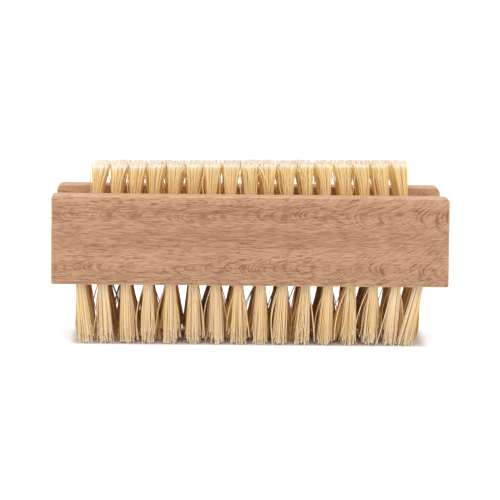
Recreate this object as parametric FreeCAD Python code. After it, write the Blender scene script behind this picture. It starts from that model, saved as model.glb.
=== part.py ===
import FreeCAD, Part
import collections
import math
import os

# A two-sided nail brush: a beech block with a channel along its top, plant-fibre tufts under the block and
# in the channel, and a flat wire staple at the bottom of each tuft's hole.
# Millimetres, +Z up, +X along the block, +Y away from its front face. The origin lies on the ground under
# the middle of the block, in the plane where the lower tufts are trimmed.

# Block
block_length = 95.0
block_depth = 40.0
block_height = 21.4
rim_width = 7.0
channel_depth = 5.0
hole_web = 2.4  # wood left between the lower and the upper holes
edge_radius = 0.5  # every outer edge, eased by sanding
rear_corner_radius = 1.6  # the ends of the rear rim, rounded by sanding
front_left_corner_radius = 0.8  # the ends of the front rim were sanded less
front_right_corner_radius = 1.1

# Lower tufts
lower_tuft_diameter = 2.4
lower_tuft_length = 14.7  # free length below the block
lower_column_count = 16
lower_row_count = 5
lower_end_margin = 6.8  # from the axis of an outermost tuft to the end of the block
lower_side_margin = 5.6  # from the axis of an outermost tuft to the side of the block
lower_tip_gap = 1.5  # between the tips of two neighbours in a row that lean alike
lower_gather_share = 0.02  # how far the tips of a row draw in towards the middle of the block
lower_waist_flare_share = 0.43  # how much of its flare and of its lean a tuft has reached at its waist

# Upper tufts
upper_tuft_diameter = 2.0
upper_tuft_rise = 6.9  # from the top of the rims to the tips
upper_column_count = 17
upper_row_count = 3
upper_end_margin = 10.3
upper_side_margin = 4.5  # from the axis of an outermost tuft to the wall of the channel
upper_tip_gap = 0.25
upper_gather_share = 0.032
upper_waist_flare_share = 0.21

# Both kinds of tuft
tuft_clearance = 0.05  # radial, in the hole
tuft_side_count = 16  # flat sides that stand for the round of a tuft
waist_height_share = 0.55  # where along the free length the middle section of a tuft lies

# How far each tuft of the front row leans along the block at its tip, apart from drawing in, as shares of
# the gap between tips.
# Neighbours stay clear of each other while no share is more than 1 below the one before it.
lean_shares = (
    *(0.05, 0.10, -0.05, -0.25, -0.20, -0.15, 0.10, 0.00),
    *(-0.15, -0.55, -0.45, -0.25, -0.05, -0.25, -0.60, -1.30),
)

# Staples
staple_thickness = 0.35
staple_height = 1.2
staple_bite = 0.4  # how far each end of a staple reaches into the wood
staple_angle = 30.0  # degrees from the grain, so that a row of staples doesn't split the block
fold_height = 0.8  # fibre between a staple and the bottom of its hole

# Working values
overrun = 1.0  # how far a cutting shape reaches past the faces that it cuts
same_place = 0.0001  # two places closer than this are one

half_length = block_length / 2
half_depth = block_depth / 2
block_bottom = lower_tuft_length
block_top = block_bottom + block_height
channel_floor = block_top - channel_depth
channel_half_width = half_depth - rim_width
hole_depth = (block_height - channel_depth - hole_web) / 2


def spread(room, count):
    """Evenly spaced places from one end of the room to the other, centred on zero."""
    return [room * (i / (count - 1) - 0.5) for i in range(count)]


lower_columns = spread(block_length - 2 * lower_end_margin, lower_column_count)
upper_columns = spread(block_length - 2 * upper_end_margin, upper_column_count)


# A field of tufts stands on one surface of the wood, in columns across the block and rows along it.
Field = collections.namedtuple(
    "Field",
    "name surface points_down columns rows diameter length tip_diameter tip_gap "
    "gather_share waist_flare_share",
)
lower = Field(
    name="lower",
    surface=block_bottom,
    points_down=True,
    columns=lower_columns,
    rows=spread(block_depth - 2 * lower_side_margin, lower_row_count),
    diameter=lower_tuft_diameter,
    length=lower_tuft_length,
    tip_diameter=(lower_columns[1] - lower_columns[0]) * (1 - lower_gather_share) - lower_tip_gap,
    tip_gap=lower_tip_gap,
    gather_share=lower_gather_share,
    waist_flare_share=lower_waist_flare_share,
)
upper = Field(
    name="upper",
    surface=channel_floor,
    points_down=False,
    columns=upper_columns,
    rows=spread(2 * (channel_half_width - upper_side_margin), upper_row_count),
    diameter=upper_tuft_diameter,
    length=channel_depth + upper_tuft_rise,
    tip_diameter=(upper_columns[1] - upper_columns[0]) * (1 - upper_gather_share) - upper_tip_gap,
    tip_gap=upper_tip_gap,
    gather_share=upper_gather_share,
    waist_flare_share=upper_waist_flare_share,
)


def box_between(low, high):
    corner = FreeCAD.Vector(*low)
    size = FreeCAD.Vector(*high) - corner
    return Part.makeBox(size.x, size.y, size.z, corner)


def place(field, shape, x, y):
    """A copy of a shape made on the plane z = 0, moved to its place on the field's surface."""
    placed = shape.copy()
    if field.points_down:
        placed.rotate(FreeCAD.Vector(), FreeCAD.Vector(1, 0, 0), 180)
    placed.translate(FreeCAD.Vector(x, y, field.surface))
    return placed


def staple(field):
    """The flat wire that holds a tuft, across the bottom of its hole."""
    length = field.diameter + 2 * tuft_clearance + 2 * staple_bite
    corner = FreeCAD.Vector(-length / 2, -staple_thickness / 2, fold_height - hole_depth)
    wire = Part.makeBox(length, staple_thickness, staple_height, corner)
    wire.rotate(FreeCAD.Vector(), FreeCAD.Vector(0, 0, 1), staple_angle)
    return wire


def hole(field):
    """What is taken out of the wood for one tuft: a blind hole and the bites of its staple."""
    bottom = FreeCAD.Vector(0, 0, -hole_depth)
    bore = Part.makeCylinder(field.diameter / 2 + tuft_clearance, hole_depth + overrun, bottom)
    return bore.fuse(staple(field))


def ring(radius, x, z):
    """The corners of one cross-section of a tuft."""
    turns = [2 * math.pi * i / tuft_side_count for i in range(tuft_side_count)]
    return [FreeCAD.Vector(x + radius * math.cos(turn), radius * math.sin(turn), z) for turn in turns]


def flat_face(corners):
    return Part.Face(Part.makePolygon(corners + corners[:1]))


def solid_through(rings):
    """A closed solid with flat sides between one ring and the next."""
    faces = [flat_face(rings[0]), flat_face(rings[-1])]
    for below, above in zip(rings, rings[1:]):
        for i in range(tuft_side_count):
            faces.append(flat_face([below[i - 1], below[i], above[i], above[i - 1]]))
    return Part.Solid(Part.Shell(faces))


def tuft(field, lean):
    """A bundle of fibres: round in its hole, folded under its staple, and flared towards its flat tip."""
    rings = [ring(field.diameter / 2, 0, -hole_depth)]
    for height_share, flare_share in ((0, 0), (waist_height_share, field.waist_flare_share), (1, 1)):
        diameter = field.diameter + flare_share * (field.tip_diameter - field.diameter)
        rings.append(ring(diameter / 2, flare_share * lean, height_share * field.length))
    return solid_through(rings).cut(staple(field))


def tuft_lean(field, column, row):
    """How far the tip of one tuft leans: the front row's pattern, moved on evenly for the rows behind it,
    and towards the middle of the block."""
    moved_on = row * len(lean_shares) // len(field.rows)
    own_lean = lean_shares[(column + moved_on) % len(lean_shares)] * field.tip_gap
    return own_lean - field.gather_share * field.columns[column]


def tuft_column(field, column):
    """The tufts one behind another at one place along the block."""
    return [
        place(field, tuft(field, tuft_lean(field, column, row)), field.columns[column], y)
        for row, y in enumerate(field.rows)
    ]


def at_each_tuft(field, shape):
    return [place(field, shape, x, y) for x in field.columns for y in field.rows]


def lies_at(edge, x=None, y=None, z=None):
    """Whether an edge lies wholly at the given places, on either side of the middle for x and y."""
    box = edge.BoundBox
    spans = ((x, box.XMin, box.XMax), (y, box.YMin, box.YMax), (z, box.ZMin, box.ZMax))
    for wanted, low, high in spans:
        if wanted is None:
            continue
        reach = max(abs(low), abs(high))
        if high - low > same_place or abs(reach - wanted) > same_place:
            return False
    return True


def round_rim_ends(wood):
    """Rounds the top corner at each end of both rims."""
    for left, front_radius in ((True, front_left_corner_radius), (False, front_right_corner_radius)):
        for front in (True, False):
            radius = front_radius if front else rear_corner_radius
            corner = [
                edge
                for edge in wood.Edges
                if lies_at(edge, x=half_length, z=block_top)
                and (edge.BoundBox.Center.x < 0) == left
                and (edge.BoundBox.Center.y < 0) == front
            ]
            wood = wood.makeFillet(radius, corner)
    return wood


def ease_edges(wood):
    """Eases the outer edges, then the inner edges of the rims, then the ends of the channel floor."""
    wanted = (
        lambda edge: lies_at(edge, y=half_depth) or lies_at(edge, z=block_bottom),
        lambda edge: lies_at(edge, y=channel_half_width, z=block_top),
        lambda edge: lies_at(edge, x=half_length, z=channel_floor),
    )
    for test in wanted:
        wood = wood.makeFillet(edge_radius, [edge for edge in wood.Edges if test(edge)])
    return wood


def wood_block():
    """The block with its channel and one blind hole for each tuft."""
    wood = box_between((-half_length, -half_depth, block_bottom), (half_length, half_depth, block_top))
    channel = box_between(
        (-half_length - overrun, -channel_half_width, channel_floor),
        (half_length + overrun, channel_half_width, block_top + overrun),
    )
    wood = ease_edges(round_rim_ends(wood.cut(channel)))
    holes = [bore for field in (lower, upper) for bore in at_each_tuft(field, hole(field))]
    return wood.cut(holes)


def write(name, solids):
    shape = Part.makeCompound(solids)
    shape.exportStep(f"parts/{name}.step")
    state = "valid" if shape.isValid() else "BAD"
    print(name, len(shape.Solids), "solids", round(shape.Volume, 3), "mm3", state)


os.makedirs("parts", exist_ok=True)
write("wood_block", wood_block().Solids)
for field in (lower, upper):
    write(f"{field.name}_staples", at_each_tuft(field, staple(field)))
    for column in range(len(field.columns)):
        write(f"{field.name}_tufts_column_{column + 1:02d}", tuft_column(field, column))
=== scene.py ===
# %% [markdown]
# A two-sided nail brush. A beech block has a channel along its top; long tufts of plant fibre stand under
# the block and short ones in the channel. The CAD model already holds the block, the tufts as plain flared
# solids and the staples in their holes, so this lesson dresses it: it gives the wood and the wire their
# finish and grows real fibres where the plain tufts are.

# %% Load the CAD model
import math

import bpy
import numpy as np
from mathutils import Matrix, Vector


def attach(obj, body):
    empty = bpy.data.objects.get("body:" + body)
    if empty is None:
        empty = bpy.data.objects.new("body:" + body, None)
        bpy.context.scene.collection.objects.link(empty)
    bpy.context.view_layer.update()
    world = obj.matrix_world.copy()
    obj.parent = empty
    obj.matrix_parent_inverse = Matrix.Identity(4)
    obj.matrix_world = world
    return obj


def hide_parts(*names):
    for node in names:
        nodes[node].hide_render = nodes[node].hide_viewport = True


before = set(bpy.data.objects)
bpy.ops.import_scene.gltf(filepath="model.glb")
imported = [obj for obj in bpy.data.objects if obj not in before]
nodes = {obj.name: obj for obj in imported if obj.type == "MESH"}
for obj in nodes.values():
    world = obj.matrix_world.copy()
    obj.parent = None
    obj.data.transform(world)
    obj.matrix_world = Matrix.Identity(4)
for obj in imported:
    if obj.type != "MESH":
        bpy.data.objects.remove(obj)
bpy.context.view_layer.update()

# %% [markdown]
# The photograph was taken with a long lens, almost level with the brush and a little above it, because the
# rear rim shows over the front one by only a few pixels. The eye, the point it looks at, the roll and the
# focal length were fitted to the corners of the block.

# %% Camera
IMAGE_SIDE = 500
FOCAL_PIXELS = 3401
SENSOR = 36.0
eye = Vector((-0.01419, -0.82642, 0.10420))
looks_at = Vector((-0.00009, -0.0200, 0.02337))
roll = math.radians(0.608)

lens = bpy.data.cameras.new("camera")
lens.sensor_width = SENSOR
lens.lens = SENSOR * FOCAL_PIXELS / IMAGE_SIDE
lens.clip_start, lens.clip_end = 0.01, 100
camera = bpy.data.objects.new("camera", lens)
turn = (looks_at - eye).to_track_quat("-Z", "Y").to_matrix().to_4x4()
camera.matrix_world = Matrix.Translation(eye) @ turn @ Matrix.Rotation(roll, 4, "Z")
bpy.context.scene.collection.objects.link(camera)
bpy.context.scene.camera = camera
print("lens of", round(lens.lens, 1), "mm at", round((looks_at - eye).length, 3), "m")

# %% [markdown]
# Every finish here is built from nodes. Written link by link they are hard to read, so one small class
# wraps a socket: arithmetic on it adds Math nodes, and its node method adds any other kind. The same class
# serves the shaders and the Geometry Nodes tree that grows the fibres.

# %% A socket that does arithmetic


def find_socket(sockets, wanted):
    """The enabled socket of that name, or of that number."""
    enabled = [socket for socket in sockets if socket.enabled]
    if isinstance(wanted, int):
        return enabled[wanted]
    return next(socket for socket in enabled if socket.name == wanted)


class Wire:
    """An output socket in a node tree, or the bare tree to start from."""

    def __init__(self, tree, socket=None):
        self.tree = tree
        self.socket = socket

    def node(self, kind, settings=None, sockets=None, output=0):
        """Adds a node, sets its settings, then its sockets' values or links, and gives one output."""
        new = self.tree.nodes.new(kind)
        for name, value in (settings or {}).items():
            setattr(new, name, value)
        for name, value in (sockets or {}).items():
            socket = find_socket(new.inputs, name)
            if isinstance(value, Wire):
                self.tree.links.new(value.socket, socket)
            else:
                socket.default_value = value
        return Wire(self.tree, find_socket(new.outputs, output) if new.outputs else None)

    def other(self, output):
        """Another output of the same node."""
        return Wire(self.tree, find_socket(self.socket.node.outputs, output))

    def math(self, operation, *values):
        return self.node("ShaderNodeMath", {"operation": operation}, dict(enumerate(values)))

    def __add__(self, value):
        return self.math("ADD", self, value)

    def __sub__(self, value):
        return self.math("SUBTRACT", self, value)

    def __rsub__(self, value):
        return self.math("SUBTRACT", value, self)

    def __mul__(self, value):
        return self.math("MULTIPLY", self, value)

    def __truediv__(self, value):
        return self.math("DIVIDE", self, value)

    def __pow__(self, value):
        return self.math("POWER", self, value)

    __radd__ = __add__
    __rmul__ = __mul__


print("Wire adds", Wire.math.__name__, "and", Wire.node.__name__, "nodes")

# %% [markdown]
# A few finishes need the same small steps: a point in millimetres, a noise that is stretched along the
# grain or the fibre, a soft threshold and a mix of two colours. They are named once here.

# %% Steps that the finishes share
MILLIMETRES = 1000  # in a metre


def vector(wire, x, y, z):
    return wire.node("ShaderNodeCombineXYZ", sockets={"X": x, "Y": y, "Z": z})


def split(point):
    """The three numbers of a point or a direction."""
    numbers = point.node("ShaderNodeSeparateXYZ", sockets={"Vector": point})
    return [numbers.other(axis) for axis in "XYZ"]


def vector_math(wire, operation, *values, **named):
    sockets = {**dict(enumerate(values)), **named}
    return wire.node("ShaderNodeVectorMath", {"operation": operation}, sockets)


def noise(place, detail=2.0, roughness=0.5, output=0):
    sockets = {"Vector": place, "Scale": 1.0, "Detail": detail, "Roughness": roughness}
    return place.node("ShaderNodeTexNoise", sockets=sockets, output=output)


def stretched_noise(place, lengths, detail=2.0, roughness=0.5):
    """Noise whose features have about those lengths along x, y and z."""
    shares = tuple(1 / length for length in lengths)
    return noise(vector_math(place, "MULTIPLY", place, shares), detail, roughness)


def threshold(value, low, high):
    """0 below low, 1 above high, and smooth between them."""
    return value.node("ShaderNodeMapRange", {"interpolation_type": "SMOOTHSTEP"},
                      {"Value": value, "From Min": low, "From Max": high})


def mix(share, start, end):
    colours = {"A": start, "B": end}
    for name, colour in colours.items():
        if not isinstance(colour, Wire):
            colours[name] = (*colour, 1)
    return share.node("ShaderNodeMix", {"data_type": "RGBA"}, {"Factor": share, **colours})


def new_finish(name):
    """An empty material, and a wire into its tree that carries the point on the piece in millimetres."""
    finish = bpy.data.materials.new(name)
    finish.use_nodes = True
    finish.node_tree.nodes.clear()
    start = Wire(finish.node_tree).node("ShaderNodeTexCoord", output="Object")
    return finish, vector_math(start, "SCALE", start, Scale=MILLIMETRES)


def close_finish(start, **sockets):
    """The shader and its output."""
    names = {name.replace("_", " "): value for name, value in sockets.items()}
    shader = start.node("ShaderNodeBsdfPrincipled", sockets=names)
    start.node("ShaderNodeOutputMaterial", sockets={"Surface": shader})


def dress(node, finish):
    """Gives a CAD piece its finish."""
    nodes[node].data.materials.clear()
    nodes[node].data.materials.append(finish)


print("finishes are made in millimetres")

# %% [markdown]
# Beech is a pale, pinkish brown wood. On a face cut along the rings it shows nested crescents, where the
# rings run almost level with the face, and long slanting arms on both sides of them. A depth is worked out
# at every point, and the rings are its contour lines: it grows along the block, falls away above and below
# two bands, and wanders with a slow noise. A picture would stop at the edges of a face; this figure runs
# through the block, so that the rims and the underside agree with the front.

# %% Rings of the beech
RING_STEP = 3.4  # millimetres along the block from one ring to the next
BANDS = (19.0, 31.3)  # heights of the two bands of crescents
BEND = 2.2  # half the height of a crescent's bend
ARM = 1.6  # rings crossed in a millimetre of height, away from a band, in the middle of the block
ARM_DRIFT = 0.022  # how much fewer they are for each millimetre along the block
SIDE = 1.8  # rings crossed in a millimetre of depth
WANDER, UNEVEN = 5.5, 1.4  # how many rings the slow and the quick noise move the figure by

beech, spot = new_finish("beech")
along, across, up = split(spot)
wander = stretched_noise(spot, (18, 22, 16), detail=1.0)
uneven = stretched_noise(spot, (6, 30, 30), detail=1.0)
off_low, off_high = (spot.math("SQRT", (up - band) ** 2.0 + BEND**2) for band in BANDS)
off_band = spot.math("SMOOTH_MIN", off_low, off_high, 4.0)
arm = ARM - along * ARM_DRIFT
ring_depth = along / RING_STEP - off_band * arm + wander * WANDER + uneven * UNEVEN + across * SIDE
ring = threshold(spot.math("ABSOLUTE", spot.math("FRACT", ring_depth) - 0.5), 0.38, 0.5)
print("rings every", RING_STEP, "mm in", len(BANDS), "bands")

# %% [markdown]
# What the eye reads as beech is not the rings but the flecks: the cut ends of the rays, short brown dashes.
# Noise that is long along the block and short across a depth gives dashes where that depth stays the same.
# Two kinds lie over each other: level ones, which cross the whole face and rise towards its right end, and
# curved ones, which follow every crescent and come and go in patches. Finer noise gives the hair-thin pores
# between them, and where a ring turns in a band the wood blushes to a reddish spot. The face has zones, too:
# a plain one between the bands, a dark strip over the upper band and many flecks above that. The channel is
# painted paler, painted light that lifts the shade in it.

# %% Flecks, pores and spots of the beech
FLECK_LENGTH = 2.0
STREAK_LENGTH = 9.0
RISE_FROM, RISE = 2.0, 0.034  # where along the block the level dashes start to rise, and how steeply
HALF_LENGTH = 47.5  # of the block
MIDDLE = 25.4  # height of the middle of the block
CHANNEL_FLOOR, CHANNEL_HALF = 31.0, 13.5  # its height and half its width, eased edges included
aside = across / FLECK_LENGTH + up * 0.35


def dashes(follow):
    """Dashes that lie where a depth stays the same."""
    return noise(vector(spot, along / FLECK_LENGTH, aside, follow), detail=2.0, roughness=0.6)


def zone(low, high, border=1.5):
    """1 between two heights, and 0 past a soft border."""
    return threshold(up, low - border, low) * (1.0 - threshold(up, high, high + border))


rise = spot.math("MAXIMUM", along - RISE_FROM, 0.0) ** 2.0 * RISE
level = (ring_depth - along / RING_STEP) * 1.1 + up * 5.0 + across * 2.5 - rise
flecks = threshold(dashes(level), 0.52, 0.64)
curved = threshold(dashes(ring_depth * 4.0), 0.53, 0.66)
streaks = noise(vector(spot, along / STREAK_LENGTH, aside * 0.3, level * 0.5), detail=2.0)
pores = stretched_noise(spot, (3.0, 0.3, 0.2), detail=1.0)
drift = stretched_noise(spot, (34, 12, 6), detail=2.0)
broken = threshold(stretched_noise(spot, (5, 5, 1.6)), 0.40, 0.60)
patchy = threshold(stretched_noise(spot, (6, 8, 5), detail=1.0), 0.34, 0.58)
in_band = 1.0 - threshold(off_band, BEND + 0.1, BEND + 0.75)

plain = zone(24.6, 27.3, border=2.0)  # between the bands
dark_strip = zone(32.0, 33.3)  # over the upper band
pale_strip = zone(20.5, 21.8)  # over the lower band
busy = threshold(up, 33.0, 34.6)  # towards the top
# Painted highlight: the face is painted paler just under the top, for the light from above.
edge = threshold(up, 34.4, 35.8)  # just under the top
# The channel; the wood is painted paler there, painted light that lifts the shade in it. The same mask keeps
# the reddish spots out of it.
in_channel = (threshold(up, CHANNEL_FLOOR - 0.4, CHANNEL_FLOOR)
          * threshold(CHANNEL_HALF - spot.math("ABSOLUTE", across), 0.0, 0.4))

curves = ring * (broken * 0.26 + in_band * patchy * 0.5) + curved * (0.16 + patchy * 0.34)
grain = streaks - 0.5 + (pores - 0.5) * 1.2 + (drift - 0.5) * 0.3
# Painted light in this sum: paler towards the top and just under it, a painted highlight of the light from
# above, and paler in the channel, lifting its shade.
shade = (plain * 0.18 + dark_strip * 0.20 - pale_strip * 0.08 - busy * 0.07 - edge * 0.13 - in_channel * 0.36
         - (up - MIDDLE) * 0.008 - (along / HALF_LENGTH) ** 2.0 * 0.10)
figure = curves * (1.0 - plain * 0.6) + flecks * (0.40 - plain * 0.14 + busy * 0.30) + grain + shade + 0.25
figure = spot.math("MINIMUM", spot.math("MAXIMUM", figure, 0.0), 1.0)
middle = 1.0 - threshold(off_band, BEND - 0.05, BEND + 0.40)
blotches = threshold(stretched_noise(spot, (1.6, 6, 3), detail=0.0), 0.52, 0.80)
blush = middle * blotches * (1.0 - in_channel)
print("flecks about", FLECK_LENGTH, "mm long")

# %% [markdown]
# The ends of the block cut the wood square, so they drink more light and look darker, with the rings as
# arcs and the rays as fine lines across them. The shader knows an end by its normal. Where the normal turns
# away from all three main directions there is an eased edge, and there the wood is painted paler in
# patches, a painted highlight that also lifts the shade on the edges turned away from the light.
# Roughness and the small relief come from the same flecks and pores as the colour, as they do on sanded
# wood, and a little sheen stands for the nap of bare wood, which looks pale at a glancing angle.

# %% Ends and shader of the beech
PALE_BEECH = (0.504, 0.284, 0.158)
DARK_BEECH = (0.215, 0.086, 0.034)
SPOT_BEECH = (0.270, 0.095, 0.032)
END_BEECH = (0.400, 0.205, 0.110)
# the colour of the painted highlight on the eased edges
EDGE_HIGHLIGHT_BEECH = (0.800, 0.560, 0.370)
PITH_ACROSS, PITH_UP = -9.0, -38.0  # the middle of the tree, below the block
END_RING_STEP = 2.3
facing = split(spot.node("ShaderNodeNewGeometry", output="Normal"))
facing_x, facing_y, facing_z = (spot.math("ABSOLUTE", number) for number in facing)
is_end = threshold(facing_x, 0.97, 1.0)
squarely = spot.math("MAXIMUM", facing_x, spot.math("MAXIMUM", facing_y, facing_z))
# Painted highlight: eased edges paler in patches, which also lifts the shade where they turn from the light.
edge_highlight = threshold(1.0 - squarely, 0.02, 0.20) * (0.15 + patchy * 0.35)

from_pith = across - PITH_ACROSS, up - PITH_UP
arcs = vector_math(spot, "LENGTH", vector(spot, 0.0, *from_pith)).other("Value")
end_ring = spot.math("FRACT", arcs / END_RING_STEP + wander * 0.6) ** 2.0
end_pores = stretched_noise(spot, (0.3, 0.16, 0.3), detail=1.0)
fan = spot.math("ARCTAN2", *from_pith)
rays = threshold(noise(vector(spot, fan * 130.0, arcs / 3.0, 0.0), detail=1.0), 0.50, 0.66)
end_colour = mix(end_ring * 0.40 + end_pores * 0.45 + rays * 0.40, PALE_BEECH, END_BEECH)
side_colour = mix(blush * 0.8, mix(figure, PALE_BEECH, DARK_BEECH), SPOT_BEECH)
colour = mix(edge_highlight, mix(is_end, side_colour, end_colour), EDGE_HIGHLIGHT_BEECH)
relief = spot.node("ShaderNodeBump", sockets={
    "Strength": 0.7, "Distance": 0.00008, "Height": pores * 0.6 - flecks * 0.5})
close_finish(spot, Base_Color=colour, Roughness=0.52 + flecks * 0.12 + pores * 0.1, Normal=relief,
             Sheen_Weight=0.6, Sheen_Roughness=0.45, Sheen_Tint=(1.0, 0.78, 0.52, 1))
dress("wood_block", beech)
print("beech on the block")

# %% [markdown]
# The staples are short lengths of flat drawn wire, hidden at the bottom of the holes. They stay as the CAD
# has them and get a plain drawn-steel finish, with fine lines along the wire and a few dull patches.

# %% Wire of the staples
BRIGHT_WIRE = (0.58, 0.57, 0.55)
DULL_WIRE = (0.36, 0.34, 0.31)
staple_wire, spot = new_finish("staple_wire")
lines = stretched_noise(spot, (1.2, 1.2, 0.06), detail=1.0)
dull = threshold(stretched_noise(spot, (0.9, 0.9, 0.9)), 0.45, 0.7)
close_finish(spot, Base_Color=mix(dull, BRIGHT_WIRE, DULL_WIRE), Metallic=1.0,
             Roughness=0.3 + lines * 0.15 + dull * 0.2)
for name in ("lower_staples", "upper_staples"):
    dress(name, staple_wire)
print("steel on the staples")

# %% [markdown]
# The tufts are plant fibre, stiff and straw coloured. No two fibres have the same colour: most are pale,
# some golden, a few brown, and all are pale at the cut end. The long ones are painted paler near the wood,
# painted light that lifts the shade under the block, and are darker grey brown further out, most of all in
# the rows inside, where that is painted shade. The short ones are painted paler and yellower, painted light
# for the light from above, amber at the foot and near white at the top, a painted highlight. The rows inside
# are painted a deeper amber, painted shade for the light that comes to them through the fibres in front.
# Every fibre carries its tone and how far along it a point lies, and the finish reads those, because a
# pattern in space would not tell one fibre from its neighbour. The colours go over each other in layers,
# each with its own share.

# %% Finish of the fibres
PALE_FIBRE = (0.895, 0.695, 0.420)
GOLDEN_FIBRE = (0.890, 0.635, 0.285)
BROWN_FIBRE = (0.600, 0.350, 0.130)
# painted shade: the deeper amber of the rows inside
SHADED_ROW_FIBRE = (0.970, 0.590, 0.165)
# painted light: the paler yellow of the short tufts
LIT_SHORT_FIBRE = (0.970, 0.800, 0.400)
AMBER_FIBRE = (0.880, 0.500, 0.150)
# painted shade: the deeper amber of the short rows inside
SHADED_SHORT_ROW_FIBRE = (0.980, 0.720, 0.220)
# pale fibres, and painted light near the wood of the long tufts
CREAM_FIBRE = (0.965, 0.835, 0.590)
# darker further out; in the rows inside this is painted shade
GREY_BROWN_FIBRE = (0.450, 0.330, 0.220)
# painted highlight at the top of the short tufts, and the pale cut ends
NEAR_WHITE_FIBRE = (1.000, 0.965, 0.880)
TOP_HIGHLIGHT_TILT = 0.02  # how much higher the painted highlight on the tops starts for each millimetre to the right
plant_fibre, spot = new_finish("plant_fibre")


def carried(name):
    """A value that each fibre carries."""
    return spot.node("ShaderNodeAttribute", {"attribute_name": name}, output="Fac")


tone, inner = carried("fibre_tone"), carried("inner")
share, walked = carried("fibre_share"), carried("fibre_walked")
streaks = stretched_noise(spot, (0.12, 0.12, 2.2), detail=1.0)
along, _, height = split(spot)
is_long = 1.0 - threshold(height, 16.0, 20.0)
is_short = threshold(height, 20.0, 34.0)
near_wood = 1.0 - threshold(share, 0.0, 0.45)
far_out = threshold(share, 0.35, 1.0)
at_foot = is_short * (1.0 - threshold(height, 36.0, 40.5))
# painted highlight on the tops of the short tufts
top_highlight = threshold(height - along * TOP_HIGHLIGHT_TILT, 41.0, 43.4)
cut_end = threshold(walked, 0.95, 1.0)

straw = mix(threshold(tone + (streaks - 0.5) * 0.5, 0.2, 0.9), PALE_FIBRE, GOLDEN_FIBRE)
for layer, colour in (
    (threshold(tone, 0.93, 0.97) * 0.6, BROWN_FIBRE),
    ((1.0 - threshold(tone, 0.10, 0.45)) * 0.6, CREAM_FIBRE),
    # painted light: the long tufts paler near the wood, lifting the shade under the block
    (is_long * near_wood * 0.5, CREAM_FIBRE),
    # darker grey brown further out; the extra in the rows inside is painted shade
    (is_long * far_out * (0.25 + inner * 0.38), GREY_BROWN_FIBRE),
    # painted light: the short tufts paler and yellower, for the light from above
    (is_short * 0.8, LIT_SHORT_FIBRE),
    # painted shade: the rows inside deeper amber, for the light that comes through the fibres in front
    (inner * 0.65, mix(is_short, SHADED_ROW_FIBRE, SHADED_SHORT_ROW_FIBRE)),
    (at_foot * 0.35, AMBER_FIBRE),
    # painted highlight at the top of the short tufts; the cut ends are pale
    (top_highlight * 0.9 + cut_end * 0.4, NEAR_WHITE_FIBRE),
):
    straw = mix(layer, straw, colour)
ridges = spot.node("ShaderNodeBump", sockets={"Strength": 0.3, "Distance": 0.00003, "Height": streaks})
close_finish(spot, Base_Color=straw, Roughness=0.42 + streaks * 0.2, Normal=ridges)
print("fibre finish reads its own tone and share")

# %% [markdown]
# The fibres must grow where the CAD tufts stand. Each tuft solid has flat cross-sections, so its corners lie
# at a few heights: the tip, the waist, the surface of the wood and those inside the hole. Counted from the
# tip, the first and the third height give the tip and the root of each tuft in a column.

# %% Measure the tufts
TIP_LEVEL, ROOT_LEVEL = 0, 2
SAME_HEIGHT = 0.00001
ROW_GAP = 0.002  # less than the gap between two tufts of a column, more than that between two corners


def tufts_of(node):
    """For each tuft of a column: root, tip, root radius and tip radius, in metres."""
    corners = np.array([corner.co for corner in nodes[node].data.vertices])
    heights = np.unique(corners[:, 2].round(6))
    if node.startswith("upper"):
        heights = heights[::-1]
    sections = []
    for level in (ROOT_LEVEL, TIP_LEVEL):
        flat = corners[abs(corners[:, 2] - heights[level]) < SAME_HEIGHT]
        flat = flat[np.argsort(flat[:, 1])]
        cuts = np.where(np.diff(flat[:, 1]) > ROW_GAP)[0] + 1
        rings = np.split(flat, cuts)
        sections.append([((ring.min(0) + ring.max(0)) / 2, np.ptp(ring[:, 0]) / 2) for ring in rings])
    return [(root, tip, root_radius, tip_radius)
            for (root, root_radius), (tip, tip_radius) in zip(*sections)]


columns = {node: tufts_of(node) for node in nodes if "_tufts_" in node}
print(sum(len(tufts) for tufts in columns.values()), "tufts in", len(columns), "columns")
for node in ("lower_tufts_column_01", "upper_tufts_column_01"):
    root, tip, root_radius, tip_radius = columns[node][0]
    print(node, "root", root.round(4), "tip", tip.round(4))
    print("  radii", round(root_radius, 4), round(tip_radius, 4))

# %% [markdown]
# Thousands of fibres that follow one rule are work for Geometry Nodes. The tree starts from one point for
# each tuft. It makes many copies of each point, stands a line on every copy, bends the lines and gives them
# thickness. Its sizes are named inputs, so that the short tufts and the long ones share it.

# %% Inputs of the tree
tree = bpy.data.node_groups.new("bristle_tufts", "GeometryNodeTree")
tree.interface.new_socket("Geometry", in_out="OUTPUT", socket_type="NodeSocketGeometry")
tree.interface.new_socket("Geometry", in_out="INPUT", socket_type="NodeSocketGeometry")
sockets = {}
for name, kind in (
    ("Fibres", "Int"),
    ("Thickness", "Float"),
    ("Depth", "Float"),
    ("Trim", "Float"),
    ("Clumping", "Float"),
    ("Stray", "Float"),
    ("Seed", "Int"),
    ("Finish", "Material"),
):
    socket = tree.interface.new_socket(name, in_out="INPUT", socket_type=f"NodeSocket{kind}")
    sockets[name] = socket.identifier
asked = Wire(tree).node("NodeGroupInput", output="Geometry")
print("inputs", ", ".join(sockets))

# %% [markdown]
# A bundle that is pressed into a round hole packs like seeds in a sunflower, so the copies take their places
# on that spiral: each one turns by the golden angle, and its distance grows with the root of its number.
# Each fibre also draws its own random numbers now, while it is still a point, and takes part of its tone
# from a noise that it shares with its neighbours, so that pale and golden fibres lie in strands.

# %% Places of the fibres in a tuft
GOLDEN_ANGLE = math.pi * (3 - math.sqrt(5))
STRAYS = 0.07  # share of the fibres
points = asked.node("GeometryNodeMeshToPoints", sockets={"Mesh": asked, "Radius": 0.0})
copies = points.node("GeometryNodeDuplicateElements", {"domain": "POINT"},
                     {"Geometry": points, "Amount": asked.other("Fibres")})
number = copies.other("Duplicate Index")
own_number = copies.node("GeometryNodeInputIndex")


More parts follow.
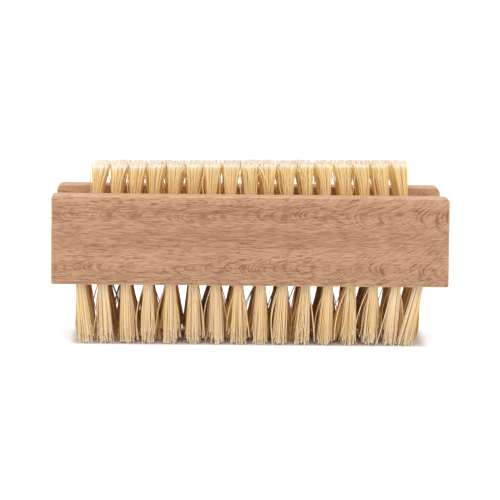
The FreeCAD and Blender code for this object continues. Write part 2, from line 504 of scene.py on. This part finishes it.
def chance(salt, low=0.0, high=1.0):
    """A random number for each fibre; each use has a salt of its own."""
    return copies.node("FunctionNodeRandomValue", {"data_type": "FLOAT"},
                       {"Min": low, "Max": high, "ID": own_number, "Seed": asked.other("Seed") + salt})


def keep(geometry, name, value, kind="FLOAT", domain="POINT"):
    """Writes a value into the geometry under a name."""
    return geometry.node("GeometryNodeStoreNamedAttribute", {"data_type": kind, "domain": domain},
                         {"Geometry": geometry, "Name": name, "Value": value})


def kept(name, kind="FLOAT"):
    return copies.node("GeometryNodeInputNamedAttribute", {"data_type": kind}, {"Name": name})


reach = copies.math("SQRT", (number + 0.5) / asked.other("Fibres"))
angle = number * GOLDEN_ANGLE + chance(1, -0.35, 0.35)
seat = vector(copies, reach * copies.math("COSINE", angle), reach * copies.math("SINE", angle), 0.0)
place = copies.node("GeometryNodeInputPosition")
astray = copies.math("LESS_THAN", chance(2), STRAYS)
pull = vector(copies, chance(3, -1.0, 1.0), chance(4, -1.0, 1.0), 0.0)
bow = vector(copies, chance(5, -1.0, 1.0), chance(6, -1.0, 1.0), 0.0)
# A stray is pulled and bowed far, the others hardly
pull = vector_math(pull, "SCALE", pull, Scale=astray + 0.08)
bow = vector_math(bow, "SCALE", bow, Scale=astray * 0.50 + 0.07)
fibres = keep(copies, "root", place, "FLOAT_VECTOR")
fibres = keep(fibres, "seat", seat, "FLOAT_VECTOR")
fibres = keep(fibres, "pull", pull, "FLOAT_VECTOR")
fibres = keep(fibres, "bow", bow, "FLOAT_VECTOR")
fibres = keep(fibres, "cut", 1.0 - asked.other("Trim") * chance(7) ** 1.4)
apart = vector(seat, 0.0, 0.0, kept("tuft") * 5.1 + asked.other("Seed") * 1.7)
alike_at = vector_math(seat, "MULTIPLY_ADD", seat, (1.8, 1.8, 0.0), apart)
alike = (noise(alike_at, detail=0.0) - 0.5) * 1.5
fibres = keep(fibres, "fibre_tone", chance(8) * 0.55 + alike + kept("shade") + 0.12)
fibres = keep(fibres, "fibre_number", own_number)
print("spiral step", round(math.degrees(GOLDEN_ANGLE), 1), "degrees")

# %% [markdown]
# Each copy now gets a line, and the line is bent. A fibre leaves its hole straight and spreads towards its
# tip, by a power of its share of the length: the higher the power, the later the tuft opens. To that comes
# what makes a tuft look real: neighbours that cling together, a slight bow in each fibre, a few
# that stray, and ends that were not all cut level.

# %% Bend the fibres
LINE_POINTS = 10
line = asked.node("GeometryNodeCurvePrimitiveLine", sockets={"Start": (0, 0, 0), "End": (0, 0, 1)})
line = line.node("GeometryNodeResampleCurve", {"mode": "COUNT"}, {"Curve": line, "Count": LINE_POINTS})
stood = line.node("GeometryNodeInstanceOnPoints", sockets={"Points": fibres, "Instance": line})
strands = stood.node("GeometryNodeRealizeInstances", sockets={"Geometry": stood})

root, tip = kept("root", "FLOAT_VECTOR"), kept("tip", "FLOAT_VECTOR")
span = vector_math(root, "SUBTRACT", tip, root)
free = root.math("ABSOLUTE", split(span)[2])
depth = asked.other("Depth")
walked = strands.node("GeometryNodeSplineParameter", output="Factor")
share = (walked * (depth + free * kept("cut")) - depth) / free
outside = share.math("MAXIMUM", share, 0.0)
flare = outside ** kept("flare")
centre = vector_math(root, "MULTIPLY_ADD", span, vector(root, flare, flare, share), root)
radius = kept("root_radius") + (kept("tip_radius") - kept("root_radius")) * flare
radius = radius - asked.other("Thickness") / 2
seat = kept("seat", "FLOAT_VECTOR")
spread = vector_math(seat, "SCALE", seat, Scale=radius)
apart = vector(seat, 0.0, 0.0, kept("tuft") * 7.3 + asked.other("Seed") * 3.1)
cling_at = vector_math(seat, "MULTIPLY_ADD", seat, (1.5, 1.5, 0.0), apart)
cling = vector_math(seat, "SUBTRACT", noise(cling_at, detail=1.0, output="Color"), (0.5, 0.5, 0.5))
cling = vector_math(seat, "MULTIPLY", cling, (1.0, 1.0, 0.0))
cling = vector_math(seat, "SCALE", cling, Scale=asked.other("Clumping") * flare)
strayed = vector_math(seat, "SCALE", kept("pull", "FLOAT_VECTOR"), Scale=asked.other("Stray") * flare)
bowed = vector_math(seat, "SCALE", kept("bow", "FLOAT_VECTOR"),
                    Scale=asked.other("Stray") * seat.math("SINE", outside * math.pi))
moved = centre
for part in (spread, cling, strayed, bowed):
    moved = vector_math(moved, "ADD", moved, part)
strands = keep(strands, "fibre_share", share)
strands = keep(strands, "fibre_walked", walked)
strands = strands.node("GeometryNodeSetPosition", sockets={"Geometry": strands, "Position": moved})
print("lines of", LINE_POINTS, "points, bent in", len(tree.nodes), "nodes so far")

# %% [markdown]
# A fibre is under a third of a millimetre thick, so five sides are round enough. Sweeping one small ring
# along every line gives closed tubes with capped ends. The ring's corners are numbered, because the map
# that is made later has to know which side of a fibre a face is on.

# %% Give the fibres thickness
SIDES = 5
section = asked.node("GeometryNodeCurvePrimitiveCircle", {"mode": "RADIUS"},
                     {"Resolution": SIDES, "Radius": asked.other("Thickness") / 2}, "Curve")
section = keep(section, "fibre_side", section.node("GeometryNodeInputIndex"))
taper = (0.82 + 0.36 * kept("fibre_tone")) * (1.0 - 0.10 * outside)
tubes = strands.node("GeometryNodeCurveToMesh", sockets={
    "Curve": strands, "Profile Curve": section, "Scale": taper, "Fill Caps": True})
tubes = tubes.node("GeometryNodeSetShadeSmooth", sockets={"Geometry": tubes})
tubes = tubes.node("GeometryNodeRealizeInstances", sockets={"Geometry": tubes})
tubes = tubes.node("GeometryNodeSetMaterial", sockets={
    "Geometry": tubes, "Material": asked.other("Finish")})
tubes.node("NodeGroupOutput", sockets={"Geometry": tubes})
print("tree of", len(tree.nodes), "nodes")

# %% [markdown]
# One piece is made for each column of tufts, in place of the CAD node of that column. The points and their
# measured sizes go in as a small mesh with named values; the evaluated result comes back as a plain mesh,
# and the modifier goes, so that nothing has to be worked out again when the model is exported. Behind the
# front row, the tufts open and lean at random, as bristles do that have been used. The columns at both ends
# are drawn in and have few strays, so that the brush ends in a straight line. The short tufts are trimmed a
# little higher towards the right end.

# %% Grow each column
SIZES = {
    "lower": {"Fibres": 80, "Thickness": 0.00028, "Depth": 0.0046, "Trim": 0.27,
              "Clumping": 0.0014, "Stray": 0.0024},
    "upper": {"Fibres": 68, "Thickness": 0.00026, "Depth": 0.0046, "Trim": 0.05,
              "Clumping": 0.0007, "Stray": 0.0024},
}
FLARES = {"lower": (1.0, 1.0), "upper": (1.9, 1.1)}  # powers, in the front row and behind it
FRONT_OPENED = {"lower": 1.03, "upper": 1.0}  # how wide the tips of the front row open
SPLAY = {"lower": (1.2, 1.75, 0.0013), "upper": (1.15, 1.5, 0.0008)}  # least and most behind it, and lean
TRIM_TILT = {"lower": 0.0, "upper": 0.0095}  # how much higher the tips are for each metre to the right
END_DRAWN_IN = 0.0008  # metres, for the tips of the front row
END_STRAY = 0.4  # how much of its stray an end column keeps
FIRST_SEED = 40
ENDS = set()
for field in SIZES:
    names = sorted(node for node in columns if node.startswith(field))
    ENDS.update((names[0], names[-1]))


def splayed(node, seed):
    """The tufts of a column with the power of their flare, those behind the front row opened at random."""
    field = node.split("_")[0]
    least, most, lean = SPLAY[field]
    dice = np.random.default_rng(seed)
    tufts = []
    for row, (root, tip, root_radius, tip_radius) in enumerate(columns[node]):
        opened = dice.uniform(least, most)
        leant = dice.uniform(-lean, lean, 3) * (1, 1, 0)
        drawn_in = abs(leant[0]) * 0.5 + (opened - 1) * tip_radius
        if row == 0:
            opened, leant, drawn_in = FRONT_OPENED[field], np.zeros(3), END_DRAWN_IN
        if node in ENDS:
            leant[0] = -np.sign(root[0]) * drawn_in if field == "lower" else 0.0
        leant[2] = TRIM_TILT[field] * root[0]
        inner = (0 < row < len(columns[node]) - 1) * (0.5 if node in ENDS else 1.0)
        tufts.append((root, tip + leant, root_radius, tip_radius * opened, FLARES[field][row > 0],
                      inner, dice.uniform(0.0, 0.2)))
    return tufts


def grow(node, seed):
    """A piece of single fibres for one column."""
    tufts = splayed(node, seed)
    roots, tips, *values = zip(*tufts)
    mesh = bpy.data.meshes.new(node)
    mesh.from_pydata([tuple(root) for root in roots], [], [])
    names = ("root_radius", "tip_radius", "flare", "inner", "shade", "tuft")
    for name, numbers in zip(names, (*values, range(len(tufts)))):
        stored = mesh.attributes.new(name, "FLOAT", "POINT")
        stored.data.foreach_set("value", [float(number) for number in numbers])
    mesh.attributes.new("tip", "FLOAT_VECTOR", "POINT").data.foreach_set("vector", np.ravel(tips))
    piece = bpy.data.objects.new(f"fibres_{node}", mesh)
    bpy.context.scene.collection.objects.link(piece)
    growth = piece.modifiers.new("growth", "NODES")
    growth.node_group = tree
    sizes = {**SIZES[node.split("_")[0]], "Seed": seed, "Finish": plant_fibre}
    if node in ENDS:
        sizes["Stray"] *= END_STRAY
    for name, value in sizes.items():
        growth[sockets[name]] = value
    done = piece.evaluated_get(bpy.context.evaluated_depsgraph_get())
    grown = bpy.data.meshes.new_from_object(done)
    piece.modifiers.clear()
    piece.data = grown
    bpy.data.meshes.remove(mesh)
    return piece


pieces = {node: grow(node, FIRST_SEED + number) for number, node in enumerate(sorted(columns))}
for node in ("lower_tufts_column_01", "upper_tufts_column_01"):
    mesh = pieces[node].data
    print(node, len(mesh.vertices), "vertices", len(mesh.polygons), "faces")

# %% [markdown]
# When the model is exported, its colours are baked into pictures, and a fibre needs a place of its own on
# them. So each piece gets a map: a grid with one cell for each fibre, the fibre's length up the cell and its
# five sides next to each other across it. Blender could unwrap the piece itself, but it would cut every
# fibre into scraps.

# %% Map of each fibre
SIDE_CORNERS = 4  # corners of a face on a fibre's side; the caps have more
CELL_MARGINS = (0.06, 0.02)  # kept free at both sides of a cell, and at its foot and top
SIDE_FROM, SIDE_TO = 0.04, 0.96  # where in a cell a fibre's sides start and end
CAP_TOP = 0.965  # where the strip of the upper cap starts; that of the lower one starts at 0
CAP_HALF, CAP_REACH = 0.017, 2.4  # half a cap's height, and half its width in sides


def map_fibres(mesh):
    """Lays each fibre in its own cell of the map."""

    def read(name):
        values = np.empty(len(mesh.vertices), np.float32)
        mesh.attributes[name].data.foreach_get("value", values)
        return values[corners]

    corners = np.empty(len(mesh.loops), np.int32)
    mesh.loops.foreach_get("vertex_index", corners)
    starts = np.empty(len(mesh.polygons), np.int32)
    mesh.polygons.foreach_get("loop_start", starts)
    counts = np.diff(np.append(starts, len(corners)))
    face = np.repeat(np.arange(len(starts)), counts)
    capped = counts[face] != SIDE_CORNERS
    fibre, side, share = read("fibre_number"), read("fibre_side"), read("fibre_share")

    # The last side of a fibre runs from its last corner back to the first
    last = np.maximum.reduceat(side, starts)[face]
    side[~capped & (last == SIDES - 1) & (side == 0)] = SIDES

    up = (share - share.min()) / (share.max() - share.min())
    turn = side * (2 * math.pi / SIDES)
    across = np.where(capped, SIDES / 2 + CAP_REACH * np.cos(turn), side) / SIDES
    cap = np.where(up > 0.5, CAP_TOP, 0.0) + CAP_HALF * (1 + np.sin(turn))
    up = np.where(capped, cap, SIDE_FROM + (SIDE_TO - SIDE_FROM) * up)

    wide = math.ceil(math.sqrt(fibre.max() + 1))
    places = []
    for cell, inside, margin in zip((fibre % wide, fibre // wide), (across, up), CELL_MARGINS):
        places.append((cell + margin + (1 - 2 * margin) * inside) / wide)
    uv = np.stack(places, 1).astype(np.float32)
    mesh.uv_layers.new(name="OFBake").data.foreach_set("uv", uv.ravel())
    return wide


for piece in pieces.values():
    cells = map_fibres(piece.data)
print("map of", cells, "by", cells, "cells on the last piece")

# %% [markdown]
# The brush stands on a plain pale floor, which takes its soft shadow. More light would make the floor white
# but bleach the brush. So the floor adds a trace of light of its own, which only the camera and reflections
# see, and only outside the place where the tufts stand.

# %% Floor
FLOOR_HALF = 20.0
FLOOR_GREY = 0.90
GLOW = 0.40
BRISTLES = (41.0, 15.0)  # half the length and half the width of where they stand, in millimetres
BORDER = 3.0
corners = [(x * FLOOR_HALF, y * FLOOR_HALF, 0) for x, y in ((-1, -1), (1, -1), (1, 1), (-1, 1))]
floor_mesh = bpy.data.meshes.new("floor")
floor_mesh.from_pydata(corners, [], [(0, 1, 2, 3)])
floor = bpy.data.objects.new("floor", floor_mesh)
bpy.context.scene.collection.objects.link(floor)


def seen(wire):
    """1 where the camera or a reflection looks, 0 for light that goes on to the brush."""
    path = wire.node("ShaderNodeLightPath", output="Is Camera Ray")
    reflected = wire.math("MAXIMUM", path.other("Is Glossy Ray"), path.other("Is Transmission Ray"))
    return wire.math("MAXIMUM", path, reflected)


paper, spot = new_finish("floor_paper")
past_end, past_side = (
    spot.math("ABSOLUTE", number) - half for number, half in zip(split(spot), BRISTLES))
open_floor = threshold(spot.math("MAXIMUM", past_end, past_side), 0.0, BORDER)
close_finish(spot, Base_Color=(FLOOR_GREY, FLOOR_GREY, FLOOR_GREY, 1), Roughness=0.9,
             Emission_Color=mix(open_floor * seen(spot), (0, 0, 0), (1, 1, 1)), Emission_Strength=GLOW)
floor_mesh.materials.append(paper)
print("floor", 2 * FLOOR_HALF, "m wide")

# %% [markdown]
# The light is soft: an even surround, a broad low lamp in front, which shows the fibres of the front row, and
# a second one above, which brightens the rims and the short tufts. The camera sees the surround as white.
# Light passes from fibre to fibre before it leaves a tuft, so it may bounce more often than usual here; with
# few bounces the tufts look grey inside.

# %% Light
SURROUND = 0.75
BOUNCES = 12
world = bpy.data.worlds.new("surround")
world.use_nodes = True
bpy.context.scene.world = world
world.node_tree.nodes.clear()
sky = Wire(world.node_tree)
strength = SURROUND + seen(sky) * (1 - SURROUND)
glow = sky.node("ShaderNodeBackground", sockets={"Color": (1, 1, 1, 1), "Strength": strength})
sky.node("ShaderNodeOutputWorld", sockets={"Surface": glow})


def broad_lamp(name, strength, width, towards):
    """A lamp far away that looks as wide as an angle in degrees."""
    lamp = bpy.data.lights.new(name, "SUN")
    lamp.energy = strength
    lamp.angle = math.radians(width)
    stand = bpy.data.objects.new(name, lamp)
    stand.rotation_euler = Vector(towards).to_track_quat("-Z", "Y").to_euler()
    bpy.context.scene.collection.objects.link(stand)
    return lamp


lamps = [
    broad_lamp("broad_lamp", strength=1.05, width=50, towards=(0.04, 0.95, -0.31)),
    broad_lamp("top_lamp", strength=0.95, width=60, towards=(0.0, 0.25, -0.97)),
]
bpy.context.scene.cycles.diffuse_bounces = BOUNCES
bpy.context.scene.view_settings.view_transform = "Standard"
print("surround", SURROUND, "and", len(lamps), "lamps")

# %% [markdown]
# Last, every piece is handed over: it moves with the brush and stands for its CAD column, which is hidden.

# %% Hand over
for node, piece in pieces.items():
    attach(piece, "root")
    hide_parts(node)
